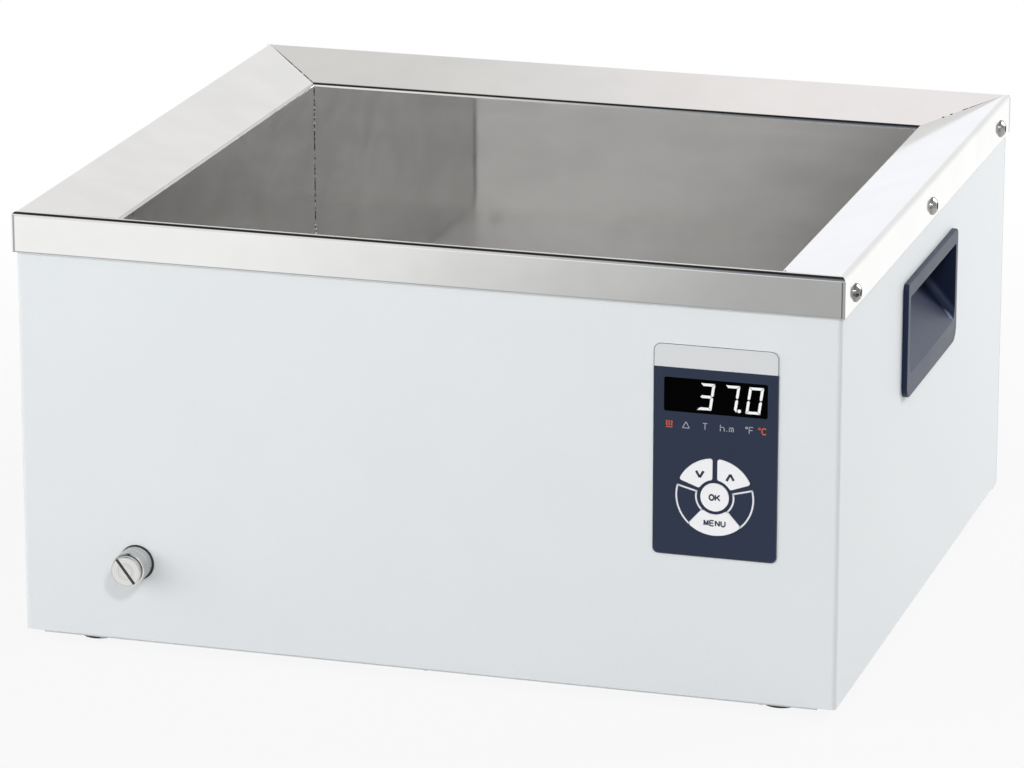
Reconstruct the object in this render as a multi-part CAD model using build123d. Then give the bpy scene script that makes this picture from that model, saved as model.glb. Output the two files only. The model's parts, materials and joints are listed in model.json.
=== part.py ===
"""Open laboratory water bath: a welded stainless bath in a coated sheet housing.

Millimetres, +Z up, front face towards -Y. The model is built round the middle of the rim,
and moved at the end so that its origin lies on the table under the middle of its box.
"""
import os
from math import cos, radians, sin

from build123d import *

# Whole bath
rim_width = 436
rim_depth = 396
body_height = 227
foot_reach = 5
overrun = 5
fit_gap = 0.3
running_gap = 0.05

# Rim, deck and bath, one folded stainless sheet on each side
rim_sheet = 1.5
rim_bend = 1.0
skirt_height = 22
deck_run = 43
deck_drop = 12
under_floor = 65
floor_lip = 10

# Coated sheet housing, rear panel and base plate
housing_sheet = 1.0
housing_bend = 1.5
housing_top_gap = 5
bottom_fold = 10
corner_relief = 10
edge_lift = 1.5
rear_flange = 14
base_sheet = 1.2
base_flange = 15

# Pan-head screws through skirts, rear panel and base, with clinch nuts behind the sheet
rim_screw_radius = 2.5
rim_screw_length = 8
rim_screw_head = 4.75
rim_screw_rise = 2.4
rim_screw_inset = 24
rim_screw_drop = 14.7
rear_screw_radius = 2
rear_screw_length = 7
rear_screw_head = 4
rear_screw_rise = 2
rear_screw_inset = 22
base_screw_radius = 1.5
base_screw_length = 6
base_screw_head = 2.75
base_screw_rise = 1.5
base_screw_inset = 40
head_wall_share = 0.3
head_crown_share = 0.6
recess_share = 0.42
nut_wall = 1.6
nut_height = 3

# Rubber feet
foot_top_radius = 10.5
foot_sole_radius = 9.5
foot_side_inset = 33
foot_front_inset = 22
foot_well_radius = 5.5
foot_well_depth = 3
foot_screw_radius = 2
foot_screw_length = 7
foot_head_radius = 4
foot_head_height = 2.2

# Recessed handles
handle_length = 120
handle_height = 62
handle_drop = 72.5
handle_proud = 3
handle_top_round = 3
handle_sole_round = 8
handle_edge_round = 0.8
grip_side_margin = 5
grip_top_margin = 7.5
grip_sole_margin = 12.5
grip_depth = 24
grip_bar = 4.5
grip_rise = 3
grip_ramp_rise = 28
grip_ramp_round = 14
grip_ceiling_round = 5
grip_end_round = 5
cup_wall = 2.5
snap_reach = 1.6
snap_length = 9
snap_width = 10

# Control panel
panel_width = 63.8
panel_height = 109.4
panel_side_inset = 31.3
panel_drop = 41.7
panel_foil = 0.6
panel_round = 3
panel_ledge = 4
display_width = 53
display_height = 17.6
display_drop = 17.2
display_round = 1
window_back = 1.5
window_ledge = 1.5
carrier_back = 2.5
carrier_flange = 6
post_radius = 3
post_hole_radius = 1.25
post_length = 10
board_sheet = 1.6
board_margin = 1
board_screw_length = 6
board_screw_head = 2.75
board_screw_head_height = 2

# Keys, cut from one ring round the OK key
keys_foot = 31.8
key_ring_inner = 9
key_ring_outer = 20
key_half_gap = 1.28
key_round = 1.2
ok_radius = 7.3
key_proud = 0.3
key_gap = 0.15
key_flange = 0.5
key_flange_sheet = 1
key_travel = 0.5
key_stem_radius = 1.5
switch_side = 6
switch_height = 3.5
upper_key_angle = 20
menu_key_angle = 48.5

# Drain
drain_side_inset = 62.5
drain_height = 44
drain_inset = 25
drain_bore = 5
spigot_radius = 7
sleeve_radius = 8.75
sleeve_length = 12.6
sleeve_chamfer = 0.6
gasket_sheet = 1
gasket_lip = 0.4
drain_nut_radius = 10.5
drain_nut_height = 5
socket_depth = 6
socket_step = 2
pipe_radius = 6
pipe_wall = 1
pipe_bend = 16
plug_head_radius = 8
plug_head_height = 2.4
plug_chamfer = 0.3
plug_shank = 7
plug_shank_radius = 4.2
plug_tip = 1
plug_pitch = 1.5
plug_turns = 4
plug_slot = 1.6
plug_slot_depth = 1.4
plug_slot_turn = 127
plug_seal_radius = 7.2
plug_seal_sheet = 1

# Air slots low in the rear panel
slot_count = 12
slot_width = 3
slot_height = 26
slot_pitch = 8
slot_foot = 22
slot_inset = 46
slot_round_share = 0.48

# Mains inlet with fuse drawer and rocker switch
inlet_side_inset = 96
inlet_foot = 12
inlet_width = 31
inlet_height = 66
inlet_flange = 3
inlet_body_depth = 24
inlet_body_margin = 2
inlet_round = 2
socket_width = 24
socket_height = 16.5
socket_cavity = 18
socket_corner = 4
socket_foot = 6
pin_width = 2
pin_height = 4
pin_pitch = 7
pin_offset = 1.5
pin_length = 12
pin_tail = 8
drawer_width = 22
drawer_height = 9
drawer_travel = 16
drawer_hold = 2
drawer_foot = 27
drawer_pull = 1
drawer_pull_height = 3
fuse_radius = 2.5
fuse_length = 20
fuse_depth_share = 0.45
rocker_width = 19
rocker_height = 14
rocker_depth = 12
rocker_foot = 44
rocker_swing = 9
rocker_dip = 0.9
rocker_pivot_depth = 1.4
rocker_rise = 2.4
rocker_back = 5
rocker_foot_share = 0.5
rocker_pin_radius = 1.5
rocker_pin_length = 2

# Heater and what touches the bath floor
heater_radius = 3.2
heater_flats = 8
heater_passes = 6
heater_side_gap = 48.5
heater_front_gap = 58.5
heater_bend_share = 0.45
heater_tail = 22
heater_bend = 8
heater_plate_sheet = 2
heater_plate_gap = 55.5
heater_plate_margin = 14
stud_radius = 2
stud_tail = 6
stud_inset = 12
stud_nut_radius = 4
stud_nut_height = 3.2
sensor_radius = 3
sensor_length = 32
sensor_chamfer = 1
cutout_radius = 8
cutout_height = 9
cutout_inset = 18
insulation_thick = 10
insulation_top_gap = 14

# Power board on the base plate
power_width = 130
power_depth = 90
power_side_inset = 40
power_front_inset = 60
power_post_radius = 3
power_post_height = 8
power_post_inset = 6
transformer_width = 38
transformer_depth = 32
transformer_height = 27
transformer_round = 1
relay_width = 29
relay_depth = 13
relay_height = 16
sink_width = 50
sink_depth = 20
sink_height = 22
sink_base = 4
sink_fins = 7
sink_fin_sheet = 2
terminal_width = 60
terminal_depth = 12
terminal_height = 14
terminal_ways = 6
terminal_hole = 1.8
power_margin = 8

# Levels and faces that the pieces share
half_width = rim_width / 2
half_depth = rim_depth / 2
fold_z = foot_reach
rim_z = foot_reach + body_height
skirt_z = rim_z - skirt_height
deck_edge_z = rim_z - deck_drop
floor_z = fold_z + under_floor
lip_z = floor_z - floor_lip
floor_under_z = floor_z - rim_sheet
bath_x = half_width - deck_run
bath_y = half_depth - deck_run
wall_x = half_width - rim_sheet
wall_y = half_depth - rim_sheet
wall_in_x = wall_x - housing_sheet
wall_in_y = wall_y - housing_sheet
wall_foot_z = fold_z + edge_lift
wall_top_z = rim_z - housing_top_gap
base_z = fold_z + housing_sheet
base_top_z = base_z + base_sheet
base_rear = wall_in_y - housing_sheet - housing_bend - fit_gap


# Shapes that several pieces use

def block(x0, x1, y0, y1, z0, z1):
    """Box between two corners."""
    middle = Pos((x0 + x1) / 2, (y0 + y1) / 2, (z0 + z1) / 2)
    return middle * Box(x1 - x0, y1 - y0, z1 - z0)


def facing(x, y, z, direction):
    """Place whose own +Z points along a direction."""
    return Plane(origin=(x, y, z), z_dir=direction).location


def turned(points):
    """Solid of revolution about its own Z, from (radius, height) points."""
    return revolve(Plane.XZ * make_face(Polyline(*points, close=True)), Axis.Z)


def ring(inner, outer, low, high):
    """Round washer about its own Z."""
    return turned([(inner, low), (outer, low), (outer, high), (inner, high)])


def folded(points, sheet, bend, side):
    """Section of a folded sheet whose outer face runs through the points."""
    outer_line = FilletPolyline(*points, radius=bend + sheet)
    return make_face(offset(outer_line, amount=sheet, side=side).edges())


def group(solids):
    """Separate solids that share one node."""
    return Compound([solid for part in solids for solid in part.solids()])


def plate_outline(width, height, top_round, sole_round):
    """Rectangle about its own middle, with its own radius at the top and at the bottom."""
    shape = Rectangle(width, height)
    corners = shape.vertices().sort_by(Axis.Y)
    shape = fillet(corners[:2], sole_round)
    corners = shape.vertices().sort_by(Axis.Y)
    return fillet(corners[-2:], top_round)


# Screws, nuts and places

def pan_screw(radius, length, head, rise):
    """Pan-head screw along its own Z, head up, its seat at zero."""
    shoulder = rise * head_wall_share
    crown = head * head_crown_share
    body = turned([
        (0, -length), (radius, -length), (radius, 0), (head, 0), (head, shoulder), (crown, rise), (0, rise)])
    recess = extrude(RegularPolygon(head * recess_share, 6), amount=rise)
    return body - Pos(0, 0, rise / 2) * recess


def clinch_nut(radius):
    """Hexagon nut along its own Z, its seat at zero, its body below."""
    body = extrude(RegularPolygon(radius + nut_wall, 6, major_radius=False), amount=-nut_height)
    return body - Cylinder(radius, 3 * nut_height)


def rim_screw_places():
    """Middle of each skirt screw on the skirt's outer face."""
    reach = half_depth - rim_screw_inset
    return [facing(side * half_width, y, rim_z - rim_screw_drop, (side, 0, 0))
            for side in (-1, 1) for y in (-reach, 0, reach)]


def rear_screw_places():
    """Middle of each rear screw on the panel's outer face."""
    x = wall_x - rear_flange / 2
    low = fold_z + rear_screw_inset
    high = skirt_z - rear_screw_inset
    return [facing(side * x, wall_y, z, (0, 1, 0)) for side in (-1, 1) for z in (low, (low + high) / 2, high)]


def base_screw_places():
    """Middle of each base screw on the underside of the front and rear folds."""
    reach = wall_x - base_screw_inset
    y = (wall_y - bottom_fold + base_rear) / 2
    return [facing(x, side * y, fold_z, (0, 0, -1)) for side in (-1, 1) for x in (-reach, 0, reach)]


def foot_places():
    """Middle of each foot on the underside of the base plate."""
    x = wall_x - foot_side_inset
    y = wall_y - foot_front_inset
    return [(sx * x, sy * y) for sx in (-1, 1) for sy in (-1, 1)]


def screw_holes(places, radius):
    """Clearance holes through a sheet at the given places."""
    hole = Cylinder(radius + fit_gap / 2, 2 * (rim_screw_length + overrun))
    return [place * hole for place in places]


# Bath sheets

def bath_sheet(length, reach):
    """Skirt, sloped deck and bath wall from one sheet, facing -Y, mitred at both ends."""
    inner = deck_run - reach
    section = folded(
        [(-reach, skirt_z), (-reach, rim_z), (inner, deck_edge_z), (inner, lip_z)],
        rim_sheet, rim_bend, Side.RIGHT)
    strip = extrude(Plane.YZ * section, amount=length / 2, both=True)
    short = length / 2 - deck_run
    plan = make_face(Polyline(
        (-length / 2, -reach), (length / 2, -reach), (short, inner), (-short, inner), close=True))
    return strip & extrude(plan, amount=rim_z + overrun)


def bath_floor():
    """Floor with a lip folded down inside the bath walls, and the drain hole."""
    outer = block(-bath_x, bath_x, -bath_y, bath_y, lip_z, floor_z)
    outer = fillet(outer.edges().group_by(Axis.Z)[-1], rim_bend + rim_sheet)
    x = bath_x - rim_sheet
    y = bath_y - rim_sheet
    inner = block(-x, x, -y, y, lip_z - overrun, floor_under_z)
    inner = fillet(inner.edges().group_by(Axis.Z)[-1], rim_bend)
    hole = Cylinder(pipe_radius - pipe_wall, 2 * (rim_sheet + overrun))
    return outer - inner - Pos(drain_x, pipe_y, floor_z) * hole


# Housing

def housing():
    """Front and both sides from one sheet, with rear flanges, bottom fold and cut-outs."""
    tip = wall_x - rear_flange
    plan = folded(
        [(-tip, wall_in_y), (-wall_x, wall_in_y), (-wall_x, -wall_y),
         (wall_x, -wall_y), (wall_x, wall_in_y), (tip, wall_in_y)],
        housing_sheet, housing_bend, Side.LEFT)
    walls = Pos(0, 0, wall_foot_z) * extrude(plan, amount=wall_top_z - wall_foot_z)
    fold_half = wall_x - corner_relief
    fold_rise = housing_bend + housing_sheet + edge_lift
    fold = folded(
        [(-wall_y, fold_z + fold_rise), (-wall_y, fold_z), (bottom_fold - wall_y, fold_z)],
        housing_sheet, housing_bend, Side.LEFT)
    body = walls + extrude(Plane.YZ * fold, amount=fold_half, both=True)
    body -= panel_place * extrude(panel_cutout(0), amount=wall_y, both=True)
    body -= drain_place * Cylinder(spigot_radius + fit_gap / 2, 2 * overrun)
    holes = screw_holes(rim_screw_places(), rim_screw_radius)
    holes += screw_holes(rear_screw_places(), rear_screw_radius)
    holes += screw_holes(base_screw_places(), base_screw_radius)
    for hole in holes:
        body -= hole
    notch_y = wall_in_y - housing_sheet - housing_bend
    notch_z = fold_z + housing_sheet + housing_bend + fit_gap
    body -= block(-wall_x, wall_x, notch_y, wall_y, 0, notch_z)
    window = handle_cutout()
    return body - window - mirror(window, Plane.YZ)


def rear_panel():
    """Rear sheet over the flanges, with its bottom fold, inlet cut-out and a row of air slots."""
    section = folded(
        [(wall_y, wall_top_z), (wall_y, fold_z), (wall_y - bottom_fold, fold_z)],
        housing_sheet, housing_bend, Side.RIGHT)
    panel = extrude(Plane.YZ * section, amount=wall_x - fit_gap, both=True)
    body = inlet_body_size(fit_gap)
    panel -= inlet_place * extrude(body, amount=-overrun - inlet_flange)
    holes = screw_holes(rear_screw_places(), rear_screw_radius)
    holes += screw_holes(base_screw_places(), base_screw_radius)
    left = slot_inset - wall_x
    low = fold_z + slot_foot
    for index in range(slot_count):
        x = left + index * slot_pitch
        slot = block(x, x + slot_width, wall_in_y - overrun, wall_y + overrun, low, low + slot_height)
        holes.append(fillet(slot.edges().filter_by(Axis.Y), slot_width * slot_round_share))
    for hole in holes:
        panel -= hole
    return panel


def base_plate():
    """Base sheet with a flange turned up along each side."""
    section = folded(
        [(-wall_in_x, base_z + base_flange), (-wall_in_x, base_z),
         (wall_in_x, base_z), (wall_in_x, base_z + base_flange)],
        base_sheet, housing_bend, Side.LEFT)
    front = fit_gap + housing_bend - wall_in_y
    plate = Pos(0, base_rear, 0) * extrude(Plane.XZ * section, amount=base_rear - front)
    for hole in screw_holes(base_screw_places(), base_screw_radius):
        plate -= hole
    hole = Cylinder(foot_screw_radius + fit_gap / 2, 2 * (base_sheet + overrun))
    for x, y in foot_places():
        plate -= Pos(x, y, base_z) * hole
    return plate


# Feet

def foot():
    """Rubber foot standing on zero, hollow below for its screw."""
    top = base_z
    hole = foot_screw_radius + fit_gap / 2
    return turned([
        (hole, foot_well_depth), (foot_well_radius, foot_well_depth), (foot_well_radius, 0),
        (foot_sole_radius, 0), (foot_top_radius, top), (hole, top)])


def foot_screw():
    """Screw from the foot's well up into the base plate's nut."""
    low = foot_well_depth - foot_head_height
    top = foot_well_depth + foot_screw_length
    return turned([
        (0, low), (foot_head_radius, low), (foot_head_radius, foot_well_depth),
        (foot_screw_radius, foot_well_depth), (foot_screw_radius, top), (0, top)])


# Recessed handles, made for the right side and mirrored

handle_z = rim_z - handle_drop
handle_face_x = wall_x + handle_proud
grip_half = handle_length / 2 - grip_side_margin
grip_low_z = handle_z - handle_height / 2 + grip_sole_margin
grip_high_z = handle_z + handle_height / 2 - grip_top_margin


def rounded_at(face, x, z, radius):
    """Round the corner of a section nearest to a point."""
    return fillet(face.vertices().sort_by_distance((x, z, 0))[0], radius)


def grip_section():
    """Finger pocket across the handle: a ramp that sweeps up behind the upper bar."""
    mouth = handle_face_x + overrun
    back = handle_face_x - grip_depth
    ramp_top = grip_low_z + grip_ramp_rise
    ramp_low = grip_low_z - overrun * grip_ramp_rise / grip_depth
    top = grip_high_z + grip_rise
    bar = handle_face_x - grip_bar
    face = make_face(Polyline(
        (mouth, ramp_low), (back, ramp_top), (back, top),
        (bar, top), (bar, grip_high_z), (mouth, grip_high_z), close=True))
    face = rounded_at(face, back, ramp_top, grip_ramp_round)
    return rounded_at(face, back, top, grip_ceiling_round)


def grip_pocket():
    """The pocket itself, its ends rounded into the ramp, the back and the ceiling."""
    solid = extrude(Plane.XZ * grip_section(), amount=grip_half, both=True)
    ends = solid.faces().filter_by(Axis.Y)
    return fillet([face.edges().sort_by(Axis.Z)[0] for face in ends], grip_end_round)


def grip_cup():
    """The moulded cup round the pocket, before the pocket is taken out."""
    return extrude(Plane.XZ * offset(grip_section(), amount=cup_wall), amount=grip_half + cup_wall, both=True)


def handle_cutout():
    """Hole in the side wall that the cup goes through."""
    reach = grip_half + cup_wall + fit_gap
    low = grip_low_z - cup_wall - fit_gap
    high = grip_high_z + grip_rise + cup_wall + fit_gap
    return block(wall_in_x - overrun, wall_x + overrun, -reach, reach, low, high)


def handle():
    """Bezel, cup and snap hooks of the recessed handle on the right side."""
    outline = plate_outline(handle_length, handle_height, handle_top_round, handle_sole_round)
    upright = Plane(origin=(wall_x, 0, handle_z), x_dir=(0, 1, 0), z_dir=(1, 0, 0))
    bezel = extrude(upright * outline, amount=handle_proud)
    bezel = fillet(bezel.faces().sort_by(Axis.X)[-1].edges(), handle_edge_round)
    behind = block(0, wall_x, -half_depth, half_depth, 0, rim_z)
    solid = bezel + (grip_cup() & behind)
    solid -= grip_pocket()
    hook_x = wall_in_x - fit_gap
    hook_z = grip_high_z - snap_width
    for side in (-1, 1):
        y = side * (grip_half + cup_wall)
        wedge = make_face(Polyline(
            (hook_x, y), (hook_x, y + side * snap_reach), (hook_x - snap_length, y), close=True))
        solid += Pos(0, 0, hook_z) * extrude(wedge, amount=snap_width / 2, both=True)
    return solid


# Control panel, drawn on its own plane: X to the right, Y up, +Z out of the front

panel_x = wall_x - panel_side_inset - panel_width / 2
panel_z = rim_z - panel_drop - panel_height / 2
panel_place = Plane(origin=(panel_x, -wall_y, panel_z), x_dir=(1, 0, 0), z_dir=(0, -1, 0)).location
display_y = panel_height / 2 - display_drop - display_height / 2
keys_y = keys_foot - panel_height / 2
carrier_depth = housing_sheet + carrier_back
board_depth = carrier_depth + post_length


def panel_cutout(gap):
    """Opening in the front wall behind the overlay, less a gap all round."""
    inset = 2 * (panel_ledge + gap)
    return Rectangle(panel_width - inset, panel_height - inset)


def display_face(inset):
    """Display window outline, less an inset all round."""
    shape = Rectangle(display_width - 2 * inset, display_height - 2 * inset)
    return Pos(0, display_y) * fillet(shape.vertices(), display_round)


def key_sector(start, end, half_gap):
    """Ring sector between two rays, with half the gap to the next key taken off each side."""
    middle = (start + end) / 2
    tip = half_gap / sin(radians((end - start) / 2))
    far = 2 * key_ring_outer

    def ray(angle, length):
        return (tip * cos(radians(middle)) + length * cos(radians(angle)),
                tip * sin(radians(middle)) + length * sin(radians(angle)))

    wedge = make_face(Polyline(
        ray(middle, 0), ray(start, far), ray(middle, 2 * far), ray(end, far), close=True))
    sector = (Circle(key_ring_outer) - Circle(key_ring_inner)) & wedge
    return fillet(sector.vertices(), key_round)


def key_faces():
    """Outline of each key about the middle of the ring."""
    return {
        "key_up": key_sector(upper_key_angle, 90, key_half_gap),
        "key_down": key_sector(90, 180 - upper_key_angle, key_half_gap),
        "key_menu": key_sector(menu_key_angle - 180, -menu_key_angle, 0),
        "key_ok": Circle(ok_radius),
    }


def key_middle(angle):
    """Middle of a ring key on the ray at an angle."""
    radius = (key_ring_inner + key_ring_outer) / 2
    return radius * cos(radians(angle)), radius * sin(radians(angle))


key_stems = {
    "key_up": key_middle((upper_key_angle + 90) / 2),
    "key_down": key_middle(180 - (upper_key_angle + 90) / 2),
    "key_menu": key_middle(-90),
    "key_ok": (0, 0),
}


def key(name, face):
    """Key cap with a thin flange behind the carrier and a stem towards its switch."""
    face = Pos(0, keys_y) * face
    top = panel_foil + key_proud
    back = -carrier_depth - running_gap
    cap = Pos(0, 0, back) * extrude(face, amount=top - back)
    flange = Pos(0, 0, back) * extrude(offset(face, amount=key_flange), amount=-key_flange_sheet)
    x, y = key_stems[name]
    stem_end = switch_height + key_travel + 2 * running_gap - board_depth
    stem_top = back - key_flange_sheet
    stem = Pos(x, keys_y + y, (stem_end + stem_top) / 2) * Cylinder(key_stem_radius, stem_top - stem_end)
    return panel_place * (cap + flange + stem)


def key_holes(depth, top):
    """Holes that the keys move in."""
    holes = []
    for face in key_faces().values():
        hole = extrude(offset(Pos(0, keys_y) * face, amount=key_gap), amount=top + depth)
        holes.append(Pos(0, 0, -depth) * hole)
    return holes


def control_overlay():
    """Foil on the front wall, open for the display window and the keys."""
    outline = plate_outline(panel_width, panel_height, panel_round, panel_round)
    foil = extrude(outline, amount=panel_foil)
    foil -= extrude(display_face(0), amount=2 * panel_foil, both=True)
    for hole in key_holes(overrun, overrun):
        foil -= hole
    return panel_place * foil


def display_window():
    """Lens flush with the overlay, seated on the carrier's ledge."""
    lens = extrude(display_face(running_gap), amount=panel_foil + window_back)
    return panel_place * (Pos(0, 0, -window_back) * lens)


def key_carrier():
    """Moulded carrier in the wall's cut-out, with a flange and board posts behind the wall."""
    plate = Pos(0, 0, -carrier_depth) * extrude(panel_cutout(fit_gap), amount=carrier_depth)
    flange = extrude(panel_cutout(-carrier_flange), amount=carrier_back)
    body = plate + Pos(0, 0, -carrier_depth) * flange
    for x, y in board_hole_places():
        body += Pos(x, y, -carrier_depth - post_length) * extrude(
            Circle(post_radius) - Circle(post_hole_radius), amount=post_length)
    body -= Pos(0, 0, -window_back) * extrude(display_face(0), amount=overrun)
    body -= Pos(0, 0, -carrier_depth - overrun) * extrude(display_face(window_ledge), amount=2 * overrun)
    for hole in key_holes(carrier_depth + overrun, overrun):
        body -= hole
    return panel_place * body


def board_hole_places():
    """Board posts near the corners of the controller board."""
    x = panel_width / 2 - post_radius - board_margin
    y = panel_height / 2 - post_radius - board_margin
    return [(sx * x, sy * y) for sx in (-1, 1) for sy in (-1, 1)]


def controller_board():
    """Circuit board on the carrier's posts."""
    board = extrude(Rectangle(panel_width, panel_height), amount=-board_sheet)
    for x, y in board_hole_places():
        board -= Pos(x, y) * Cylinder(post_hole_radius + fit_gap, 2 * overrun)
    return panel_place * (Pos(0, 0, -board_depth) * board)


def board_screws():
    """Screws through the board into the posts."""
    screw = turned([
        (0, 0), (board_screw_head, 0), (board_screw_head, board_screw_head_height),
        (post_hole_radius - running_gap, board_screw_head_height),
        (post_hole_radius - running_gap, board_screw_head_height + board_screw_length),
        (0, board_screw_head_height + board_screw_length)])
    low = -board_depth - board_sheet - board_screw_head_height
    return group([panel_place * (Pos(x, y, low) * screw) for x, y in board_hole_places()])


def display_module():
    """Four-digit module on the board, its face behind the lens."""
    face = display_face(window_ledge + fit_gap)
    return panel_place * (Pos(0, 0, -board_depth) * extrude(face, amount=board_depth - window_back))


def key_switches():
    """Short-travel switch under each key stem."""
    body = Rectangle(switch_side, switch_side)
    return group([
        panel_place * (Pos(x, keys_y + y, -board_depth) * extrude(body, amount=switch_height))
        for x, y in key_stems.values()])


# Drain, turned about an axis that points out of the front wall

drain_x = drain_side_inset - wall_x
drain_z = fold_z + drain_height
drain_place = facing(drain_x, -wall_y, drain_z, (0, -1, 0))
pipe_y = drain_inset - bath_y
sleeve_back = -housing_sheet - drain_nut_height - socket_depth - socket_step
sleeve_end = gasket_sheet + sleeve_length
plug_seat = sleeve_end + plug_seal_sheet


def drain_sleeve():
    """Turned sleeve with a boss outside, a threaded spigot and a pipe socket inside."""
    step = sleeve_back + socket_depth
    return drain_place * turned([
        (drain_bore, step), (pipe_radius, step), (pipe_radius, sleeve_back), (spigot_radius, sleeve_back),
        (spigot_radius, gasket_sheet), (sleeve_radius, gasket_sheet),
        (sleeve_radius, sleeve_end - sleeve_chamfer), (sleeve_radius - sleeve_chamfer, sleeve_end),
        (drain_bore, sleeve_end)])


def drain_nut():
    """Hexagon nut that clamps the sleeve to the wall."""
    blank = extrude(RegularPolygon(drain_nut_radius, 6), amount=-drain_nut_height)
    blank -= Cylinder(spigot_radius + running_gap, 3 * drain_nut_height)
    return drain_place * (Pos(0, 0, -housing_sheet) * blank)


def drain_pipe():
    """Bent pipe from the bath floor down to the sleeve's socket."""
    end_y = -wall_y - sleeve_back - socket_depth
    line = FilletPolyline(
        (drain_x, pipe_y, floor_under_z), (drain_x, pipe_y, drain_z), (drain_x, end_y, drain_z),
        radius=pipe_bend)
    start = Plane(origin=line @ 0, z_dir=line % 0)
    section = Circle(pipe_radius - running_gap) - Circle(pipe_radius - pipe_wall)
    return sweep(start * section, path=line)


def drain_plug():
    """Closing screw: a slotted head, a waisted shank that lets water by, and a short thread."""
    top = plug_seat + plug_head_height
    thread_top = plug_seat - plug_shank
    tip = thread_top - plug_pitch * plug_turns - plug_tip
    stem = drain_bore - running_gap
    body = turned([
        (0, tip), (stem - plug_tip, tip), (stem, tip + plug_tip), (stem, thread_top),
        (plug_shank_radius, thread_top), (plug_shank_radius, plug_seat),
        (plug_head_radius, plug_seat), (plug_head_radius, top - plug_chamfer),
        (plug_head_radius - plug_chamfer, top), (0, top)])
    slot = Rot(0, 0, plug_slot_turn) * Box(plug_slot, 3 * plug_head_radius, 2 * plug_slot_depth)
    return drain_place * (body - Pos(0, 0, top) * slot)


# Mains inlet on the rear panel, drawn with +Z out of the back

inlet_x = wall_x - inlet_side_inset
inlet_z = fold_z + inlet_foot + inlet_height / 2
inlet_place = Plane(origin=(inlet_x, wall_y, inlet_z), x_dir=(-1, 0, 0), z_dir=(0, 1, 0)).location
inlet_sole = -inlet_height / 2
socket_y = inlet_sole + socket_foot + socket_height / 2
drawer_y = inlet_sole + drawer_foot + drawer_height / 2
rocker_y = inlet_sole + rocker_foot + rocker_height / 2
pivot_depth = inlet_flange - rocker_pivot_depth
drawer_depth = drawer_travel + drawer_hold


def inlet_body_size(gap):
    """Outline of the inlet's body where it passes the panel."""
    inset = 2 * (inlet_body_margin - gap)
    return Rectangle(inlet_width - inset, inlet_height - inset)


def socket_face():
    """Appliance inlet outline with its two upper corners cut."""
    shape = Pos(0, socket_y) * Rectangle(socket_width, socket_height)
    return chamfer(shape.vertices().sort_by(Axis.Y)[-2:], socket_corner)


def mains_inlet():
    """Moulded housing for the socket, the fuse drawer and the rocker."""
    flange = extrude(plate_outline(inlet_width, inlet_height, inlet_round, inlet_round), amount=inlet_flange)
    depth = inlet_body_depth
    body = flange + Pos(0, 0, -depth) * extrude(inlet_body_size(0), amount=depth)
    body -= Pos(0, 0, inlet_flange - socket_cavity) * extrude(socket_face(), amount=socket_cavity + overrun)
    drawer = Rectangle(drawer_width + 2 * fit_gap, drawer_height + 2 * fit_gap)
    drawer_cavity = drawer_depth + fit_gap
    body -= Pos(0, drawer_y, inlet_flange - drawer_cavity) * extrude(drawer, amount=drawer_cavity + overrun)
    window = Rectangle(rocker_width, rocker_height + 2 * fit_gap)
    body -= Pos(0, rocker_y, inlet_flange - rocker_depth) * extrude(window, amount=rocker_depth + overrun)
    pin = Rot(0, 90, 0) * Cylinder(
        rocker_pin_radius + running_gap, rocker_width + 2 * (rocker_pin_length + running_gap))
    body -= Pos(0, rocker_y, pivot_depth) * pin
    for x, y, *_ in pin_places():
        slot = Rectangle(pin_width, pin_height)
        body -= Pos(x, y, -inlet_body_depth - overrun) * extrude(slot, amount=inlet_body_depth)
    return inlet_place * body


def pin_places():
    """Middle of each of the three blades."""
    return [(-pin_pitch, socket_y - pin_offset), (pin_pitch, socket_y - pin_offset),
            (0, socket_y + pin_offset)]


def inlet_pins():
    """Three blades with tails behind the housing."""
    low = -inlet_body_depth - pin_tail
    high = inlet_flange - socket_cavity + pin_length
    blade = extrude(Rectangle(pin_width, pin_height), amount=high - low)
    return group([inlet_place * (Pos(x, y, low) * blade) for x, y in pin_places()])


def fuse_drawer():
    """Drawer that slides out of the housing, with a pull rib and two fuse beds."""
    body = extrude(Rectangle(drawer_width, drawer_height), amount=-drawer_depth)
    rib = Pos(0, drawer_pull_height / 2 - drawer_height / 2) * Rectangle(drawer_width, drawer_pull_height)
    body += extrude(rib, amount=drawer_pull)
    for x, y, z in fuse_places():
        bed = Rot(0, 90, 0) * Cylinder(fuse_radius + running_gap, fuse_length + 2 * running_gap)
        body -= Pos(x, y, z) * bed
        body -= Pos(x, y + fuse_radius, z) * Box(
            fuse_length + 2 * running_gap, 2 * fuse_radius, 2 * (fuse_radius + running_gap))
    return inlet_place * (Pos(0, drawer_y, inlet_flange) * body)


def fuse_places():
    """Middle of each fuse in the drawer."""
    step = drawer_depth * fuse_depth_share
    return [(0, 0, -step / 2 - fuse_radius), (0, 0, -step * 1.5 - fuse_radius)]


def fuses():
    """Two cartridge fuses across the drawer."""
    link = Rot(0, 90, 0) * Cylinder(fuse_radius, fuse_length)
    return group([
        inlet_place * (Pos(0, drawer_y, inlet_flange) * Pos(x, y, z) * link) for x, y, z in fuse_places()])


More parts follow.
